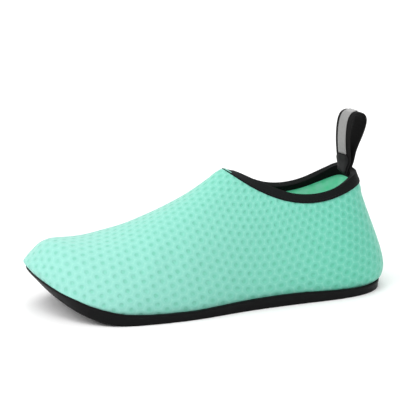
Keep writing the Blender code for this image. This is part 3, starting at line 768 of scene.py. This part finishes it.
rubber = moulded_rubber()
grip = gripping_rubber()


def islands_below(shape):
    """The level patches of the underside, each a set of faces that no sharp edge crosses."""
    left = {face for face in shape.faces if face.normal.z < -0.8}
    islands = []
    while left:
        found = region(next(iter(left)), TREAD_SHARP)
        left -= found
        islands.append(found)
    return islands


def is_disc(island):
    """Whether a patch is a round lug's face: small, as long as wide, and filled."""
    places = np.array([vert.co[:] for face in island for vert in face.verts])
    long, wide, _ = places.max(axis=0) - places.min(axis=0)
    area = sum(face.calc_area() for face in island)
    return long < LARGEST_DISC and abs(long - wide) < 0.15 * long and area > 0.7 * long * wide


def make_sole():
    """The sole's own form, welded so that its sides shade smoothly and its lips stay crisp."""
    shape = welded("outsole", quads=False)
    discs = [island for island in islands_below(shape) if is_disc(island)]
    for island in discs:
        for face in island:
            face.material_index = 1
    print("discs with a grip pattern:", len(discs))
    piece = piece_from(shape, "sole_rubber", rubber, grip)
    piece.data.set_sharp_from_angle(angle=SHADE_SHARP)
    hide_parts("outsole")
    return piece


sole = make_sole()
print("the sole has", len(sole.data.polygons), "faces")

# %% [markdown]
# ## The fine tread
#
# Between the round lugs the real sole has a honeycomb of thin ribs, and under the toes a fine slanting
# grid. An array of ribs would have to be bent and trimmed rib by rib. It is easier to fill the whole
# recess with a plate that follows its bend, and to cut the cells out of the plate with one Boolean.

# %% Honeycomb and grid
HONEYCOMB_PITCH = 8.7 * MM
HONEYCOMB_RIB = 1.2 * MM
GRID_LONG = 3.8 * MM
GRID_WIDE = 3.2 * MM
GRID_RIB = 0.85 * MM
GRID_TURN = math.radians(-17.0)
RIB_HEIGHT = 1.10 * MM
RIB_ROOT = 0.10 * MM
RECESS_FLOOR = 1.0 * MM


def recess_islands():
    """The recess under the foot and the one under the toes, as plain faces of points."""
    shape = welded("outsole", quads=False)
    deep = []
    for island in islands_below(shape):
        if min(vert.co.z for face in island for vert in face.verts) > RECESS_FLOOR:
            deep.append(island)
    deep.sort(key=lambda island: -sum(face.calc_area() for face in island))
    plates = []
    for island in deep[:2]:
        plates.append([[vert.co[:] for vert in face.verts] for face in island])
    shape.free()
    plates.sort(key=lambda faces: np.mean([point[0] for face in faces for point in face]))
    return plates


def plate_from(faces):
    """A plate under a recess, thick enough to become ribs."""
    shape = bmesh.new()
    for face in faces:
        shape.faces.new([shape.verts.new(point) for point in face])
    bmesh.ops.remove_doubles(shape, verts=shape.verts, dist=WELD)
    lowered = bmesh.ops.extrude_face_region(shape, geom=shape.faces[:])["geom"]
    low = {part for part in lowered if isinstance(part, bmesh.types.BMVert)}
    for vert in shape.verts:
        vert.co.z += -RIB_HEIGHT if vert in low else RIB_ROOT
    bmesh.ops.recalc_face_normals(shape, faces=shape.faces)
    return shape


def cells_mesh(outline, centres, bottom, top):
    """Upright prisms of one outline at many centres."""
    shape = bmesh.new()
    for x, y in centres:
        ring = [shape.verts.new((x + dx, y + dy, bottom)) for dx, dy in outline]
        raised = bmesh.ops.extrude_face_region(shape, geom=[shape.faces.new(ring)])["geom"]
        corners = [part for part in raised if isinstance(part, bmesh.types.BMVert)]
        bmesh.ops.translate(shape, verts=corners, vec=(0.0, 0.0, top - bottom))
    bmesh.ops.recalc_face_normals(shape, faces=shape.faces)
    return shape


def lattice(along, across, low, high):
    """Points of a lattice of two steps that lie in a rectangle."""
    found = []
    for i in range(-120, 121):
        for j in range(-120, 121):
            x = i * along[0] + j * across[0]
            y = i * along[1] + j * across[1]
            if low[0] < x < high[0] and low[1] < y < high[1]:
                found.append((x, y))
    return found


def rib_piece(name, faces, outline, along, across):
    """The ribs that are left of a plate when its cells are cut out."""
    plate = plate_from(faces)
    places = np.array([vert.co[:] for vert in plate.verts])
    low = places.min(axis=0) - 6.0 * MM
    high = places.max(axis=0) + 6.0 * MM
    ribs = piece_from(plate, name, rubber)
    cells = cells_mesh(outline, lattice(along, across, low, high), low[2], high[2])
    mesh = bpy.data.meshes.new("cells")
    cells.to_mesh(mesh)
    cells.free()
    cutter = bpy.data.objects.new("cells", mesh)
    bpy.context.scene.collection.objects.link(cutter)
    cut = ribs.modifiers.new("cells", "BOOLEAN")
    cut.operation = "DIFFERENCE"
    cut.solver = "EXACT"
    cut.object = cutter
    bpy.context.view_layer.update()
    apply_modifiers(ribs)
    bpy.data.objects.remove(cutter, do_unlink=True)
    ribs.data.set_sharp_from_angle(angle=SHADE_SHARP)
    print(name, "has", len(ribs.data.polygons), "faces")
    return ribs


def hexagon(radius):
    turns = [math.radians(30.0 + 60.0 * corner) for corner in range(6)]
    return [(radius * math.cos(turn), radius * math.sin(turn)) for turn in turns]


def slanted_box(half_long, half_wide, turn):
    corners = [(1, 1), (-1, 1), (-1, -1), (1, -1)]
    long = (math.cos(turn) * half_long, math.sin(turn) * half_long)
    wide = (-math.sin(turn) * half_wide, math.cos(turn) * half_wide)
    return [(a * long[0] + b * wide[0], a * long[1] + b * wide[1]) for a, b in corners]


foot_recess, toe_recess = recess_islands()
rib_piece(
    "tread_honeycomb", foot_recess, hexagon((HONEYCOMB_PITCH - HONEYCOMB_RIB) / math.sqrt(3.0)),
    (HONEYCOMB_PITCH, 0.0), (HONEYCOMB_PITCH / 2.0, HONEYCOMB_PITCH * math.sqrt(3.0) / 2.0),
)
rib_piece(
    "tread_toe_grid", toe_recess,
    slanted_box((GRID_LONG - GRID_RIB) / 2.0, (GRID_WIDE - GRID_RIB) / 2.0, GRID_TURN),
    (GRID_LONG * math.cos(GRID_TURN), GRID_LONG * math.sin(GRID_TURN)),
    (-GRID_WIDE * math.sin(GRID_TURN), GRID_WIDE * math.cos(GRID_TURN)),
)

# %% [markdown]
# ## The collar tape
#
# The collar's raw edge is bound with a folded elastic tape, sewn through both legs. It is a knitted
# tape, matt, with fine ribs.

# %% Collar tape
TAPE_DARK = "#080A0A"
TAPE_PALE = "#101313"


def elastic_tape():
    material, shader = start_material(
        "black_elastic_tape", TAPE_PALE, 0.82, Sheen_Weight=0.03, Sheen_Roughness=0.5,
        Specular_IOR_Level=0.12,
    )
    place = add(material, "ShaderNodeTexCoord").outputs["Object"]
    ribs = add(
        material, "ShaderNodeTexVoronoi", {"Scale": 1.0 / (0.9 * MM), "distance": "MANHATTAN"},
        {"Vector": place},
    )
    shade = add(
        material, "ShaderNodeMix",
        {"data_type": "RGBA", 6: linear(TAPE_DARK), 7: linear(TAPE_PALE)},
        {0: ribs.outputs["Distance"]},
    )
    wire(material, shade.outputs[2], shader, "Base Color")
    bump = add(
        material, "ShaderNodeBump", {"Strength": 0.5, "Distance": 0.15 * MM},
        {"Height": ribs.outputs["Distance"]},
    )
    wire(material, bump.outputs["Normal"], shader, "Normal")
    return material


tape = elastic_tape()


def soften(node_name, name, material, crease, levels=2):
    """A smooth copy of one node: corners creased, and its surface held to the frame's points."""
    shape = welded(node_name)
    crease_sharp(shape, crease)
    piece = piece_from(shape, name, material)
    smooth_by(piece, levels)
    hold_shape(piece)
    apply_modifiers(piece)
    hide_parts(node_name)
    return piece


collar = soften("collar_binding", "collar_tape", tape, 0.55)

# %% [markdown]
# ## The pull loop
#
# The loop is one length of woven webbing, bent over and twisted a little, with a grey reflective stripe
# printed on its outer face and a small patch fused over its front tail. They are bars of few faces in
# the frame. Subdivision Surface rounds the bend, and creases keep their long edges crisp.

# %% Webbing, film and patch
WEAVE_PITCH = 1.1 * MM
STRIPE_DARK = "#7F7F7E"
STRIPE_PALE = "#8F8F8E"


def woven_webbing():
    """Black polypropylene webbing: fine ribs across it, matt with a slight glint."""
    material, shader = start_material("black_webbing", "#101010", 0.7, Specular_IOR_Level=0.15)
    place = add(material, "ShaderNodeTexCoord").outputs["Object"]
    weave = add(
        material, "ShaderNodeTexWave",
        {"bands_direction": "Z", "Scale": 0.5 / WEAVE_PITCH / math.pi, "Distortion": 1.5, "Detail": 1.0},
        {"Vector": place},
    )
    bump = add(
        material, "ShaderNodeBump", {"Strength": 0.5, "Distance": 0.12 * MM},
        {"Height": weave.outputs["Fac"]},
    )
    wire(material, bump.outputs["Normal"], shader, "Normal")
    return material


def reflective_film():
    """Grey film with glass beads: even, a little shiny, and faintly mottled."""
    material, shader = start_material("grey_reflective_film", STRIPE_PALE, 0.42, Specular_IOR_Level=0.5)
    place = add(material, "ShaderNodeTexCoord").outputs["Object"]
    beads = add(
        material, "ShaderNodeTexNoise", {"Scale": 1.0 / (2.0 * MM), "Detail": 3.0}, {"Vector": place}
    )
    shade = add(
        material, "ShaderNodeMix",
        {"data_type": "RGBA", 6: linear(STRIPE_DARK), 7: linear(STRIPE_PALE)},
        {0: beads.outputs["Fac"]},
    )
    wire(material, shade.outputs[2], shader, "Base Color")
    return material


def fused_patch():
    """Thin black film over the tail, smoother than the webbing."""
    material, shader = start_material("black_fused_patch", "#131414", 0.55, Specular_IOR_Level=0.2)
    place = add(material, "ShaderNodeTexCoord").outputs["Object"]
    grain = add(material, "ShaderNodeTexNoise", {"Scale": 1.0 / (0.6 * MM)}, {"Vector": place})
    bump = add(
        material, "ShaderNodeBump", {"Strength": 0.3, "Distance": 0.08 * MM},
        {"Height": grain.outputs["Fac"]},
    )
    wire(material, bump.outputs["Normal"], shader, "Normal")
    return material


soften("pull_loop", "loop_webbing", woven_webbing(), 0.75)
soften("reflective_stripe", "loop_stripe", reflective_film(), 0.75)
soften("loop_patch", "tail_patch", fused_patch(), 0.6)

# %% [markdown]
# ## Stitches
#
# The tape is sewn with black thread: a straight row near its lower edge outside, and slanting overlock
# stitches that run over its edge onto the lining inside. Behind the loop's tails a few pale crosses hold
# them. Each stitch is a stretched sphere between two points, pressed to the surface below it.

# %% Stitches
STITCH_PITCH = 2.2 * MM
STITCH_LENGTH = 1.5 * MM
THREAD_RADIUS = 0.16 * MM
OVERLOCK_PITCH = 1.7 * MM


def edge_lines():
    """The tape's outer and inner lower edges, each a closed line of evenly spaced points."""
    shape = welded("collar_binding")
    loops = [np.array([p[:] for p in loop]) for loop in sharp_loops(shape) if len(loop) > COLLAR_POINTS]
    shape.free()
    loops.sort(key=lambda loop: loop[:, 2].mean())
    lower = sorted(loops[:4], key=lambda loop: np.ptp(loop[:, 1]))
    return lower[-1], lower[0]


def even_points(line, pitch):
    """Points at an even pitch along a closed line."""
    closed = np.vstack([line, line[:1]])
    run = np.concatenate([[0.0], np.cumsum(np.linalg.norm(np.diff(closed, axis=0), axis=1))])
    places = np.linspace(0.0, run[-1], int(run[-1] / pitch), endpoint=False)
    return np.stack([np.interp(places, run, closed[:, axis]) for axis in range(3)], axis=1)


def surface_of(piece):
    """A tree that finds the nearest place on a piece."""
    mesh = piece.data
    points = [vert.co.copy() for vert in mesh.vertices]
    return BVHTree.FromPolygons(points, [tuple(face.vertices) for face in mesh.polygons])


def sew(shape, start, end, surfaces):
    """One stitch between two points, each laid on the nearest of the surfaces."""
    ends = []
    for point in (start, end):
        found = [tree.find_nearest(Vector(point)) for tree in surfaces]
        place, normal, _, _ = min(found, key=lambda one: one[3])
        ends.append(place + normal * THREAD_RADIUS * 0.5)
    along = ends[1] - ends[0]
    turn = along.to_track_quat("X", "Z").to_matrix().to_4x4()
    stretch = Matrix.Diagonal((along.length / 2.0, THREAD_RADIUS, THREAD_RADIUS, 1.0))
    bmesh.ops.create_uvsphere(
        shape, u_segments=8, v_segments=6, radius=1.0,
        matrix=Matrix.Translation((ends[0] + ends[1]) / 2.0) @ turn @ stretch,
    )


def thread_material(name, hex_colour):
    material, _ = start_material(name, hex_colour, 0.6, Specular_IOR_Level=0.3)
    return material


def sew_collar():
    """The straight row outside and the overlock inside."""
    shape = bmesh.new()
    tape_surface = surface_of(collar)
    cloth_surface = surface_of(upper)
    outer, inner = edge_lines()
    rows = even_points(outer, STITCH_PITCH)
    up = Vector((0.0, 0.0, 1.3 * MM))
    for here, after in zip(rows, np.roll(rows, -1, axis=0)):
        start = Vector(here)
        step = (Vector(after) - start).normalized() * STITCH_LENGTH
        sew(shape, start + up, start + up + step, [tape_surface])
    rows = even_points(inner, OVERLOCK_PITCH)
    for here, after in zip(rows, np.roll(rows, -1, axis=0)):
        sew(shape, Vector(here) + up, Vector(after) - up * 0.8, [tape_surface, cloth_surface])
    return shape, inner, cloth_surface


def sew_crosses(inner, cloth_surface):
    """Pale crosses on the lining, just under the tape behind the loop."""
    shape = bmesh.new()
    behind = inner[inner[:, 0] < inner[:, 0].min() + 5.0 * MM]
    low = behind[:, 2].min() - 2.2 * MM
    for side in np.arange(-6.0, 6.1, 3.0) * MM:
        near = behind[int(np.argmin(np.abs(behind[:, 1] - side)))]
        for lean in (-1.0, 1.0):
            start = (near[0] + 1.0 * MM, near[1] - lean * 0.9 * MM, low)
            end = (near[0] + 1.0 * MM, near[1] + lean * 0.9 * MM, low + 1.8 * MM)
            sew(shape, start, end, [cloth_surface])
    return shape


stitch_shape, inner_edge, lining_surface = sew_collar()
stitches = piece_from(stitch_shape, "collar_stitches", thread_material("black_thread", "#0D0E0E"))
crosses = piece_from(
    sew_crosses(inner_edge, lining_surface), "tail_crosses", thread_material("pale_thread", "#C9CFCC")
)
print("stitches:", len(stitches.data.polygons) // 48, "and crosses:", len(crosses.data.polygons) // 96)

# %% [markdown]
# ## The insole
#
# A thin foam sheet lies on the cup's floor, dark, with a knitted face. It shows only from above.

# %% Insole
def foam_knit():
    material, shader = start_material("dark_foam_knit", "#3A3B3D", 0.92, Specular_IOR_Level=0.2)
    place = add(material, "ShaderNodeTexCoord").outputs["Object"]
    knit = add(material, "ShaderNodeTexVoronoi", {"Scale": 1.0 / (1.2 * MM)}, {"Vector": place})
    bump = add(
        material, "ShaderNodeBump", {"Strength": 0.6, "Distance": 0.2 * MM},
        {"Height": knit.outputs["Distance"]},
    )
    wire(material, bump.outputs["Normal"], shader, "Normal")
    return material


soften("insole", "insole_foam", foam_knit(), 0.9, levels=1)
